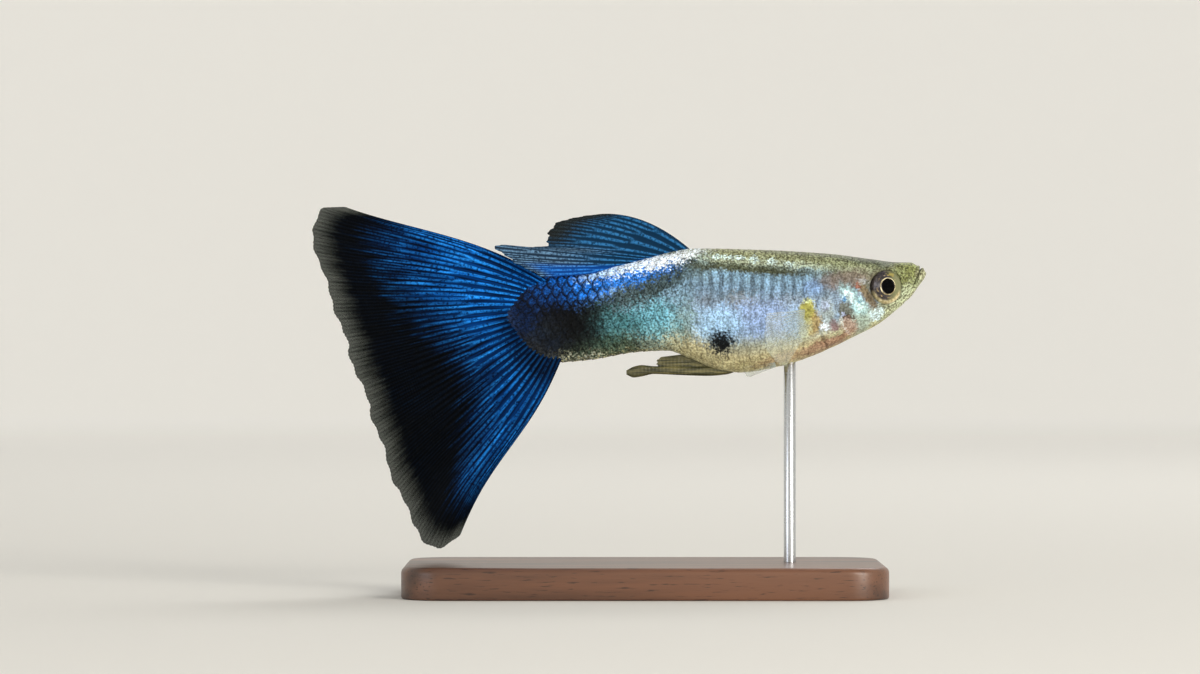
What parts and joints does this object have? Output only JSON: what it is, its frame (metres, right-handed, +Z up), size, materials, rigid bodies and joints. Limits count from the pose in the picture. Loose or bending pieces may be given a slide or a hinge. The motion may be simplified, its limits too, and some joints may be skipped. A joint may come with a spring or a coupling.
{
  "type": "male fancy guppy model on a display stand",
  "caption": "Life-size still model of a male fancy guppy with a long blue veil tail, swimming level on a rod over a flat wooden base.",
  "frame": {"origin": "on the floor under the stand, midway between the snout and the rear edge of the tail fin, in the fish's middle plane", "axes": "+X towards the snout, +Y towards the fish's left side, +Z up"},
  "size_m": [0.0464, 0.018, 0.0292],
  "materials": {
    "head_skin": "moist olive skin over small scales",
    "jaw_skin": "moist pale olive skin",
    "flank_skin": "silvery lavender scales, wet sheen",
    "stalk_skin": "shining cobalt scales with dark edges",
    "gill_skin": "silver-white gill cover, wet sheen",
    "eye": "clear wet cornea over a gold-ringed iris",
    "clear_fin": "thin clear membrane on fine rays",
    "back_fin": "steel blue membrane on fine rays",
    "tail_fin": "azure rays, black zone, hazy pale border",
    "anal_fin": "cream translucent rays",
    "stand_wood": "dark walnut, satin varnish",
    "stand_steel": "polished thin rod"
  },
  "bodies": {
    "root": {"head": "head_skin", "lower_jaw": "jaw_skin", "trunk": "flank_skin", "tail_stalk": "stalk_skin", "gill_cover_left": "gill_skin", "gill_cover_right": "gill_skin", "eye_left": "eye", "eye_right": "eye", "pectoral_fin_left": "clear_fin", "pectoral_fin_right": "clear_fin", "pelvic_fin_left": "clear_fin", "pelvic_fin_right": "clear_fin", "dorsal_fin": "back_fin", "caudal_fin": "tail_fin", "gonopodium": "anal_fin", "stand_base": "stand_wood", "stand_rod": "stand_steel"}
  },
  "joints": []
}
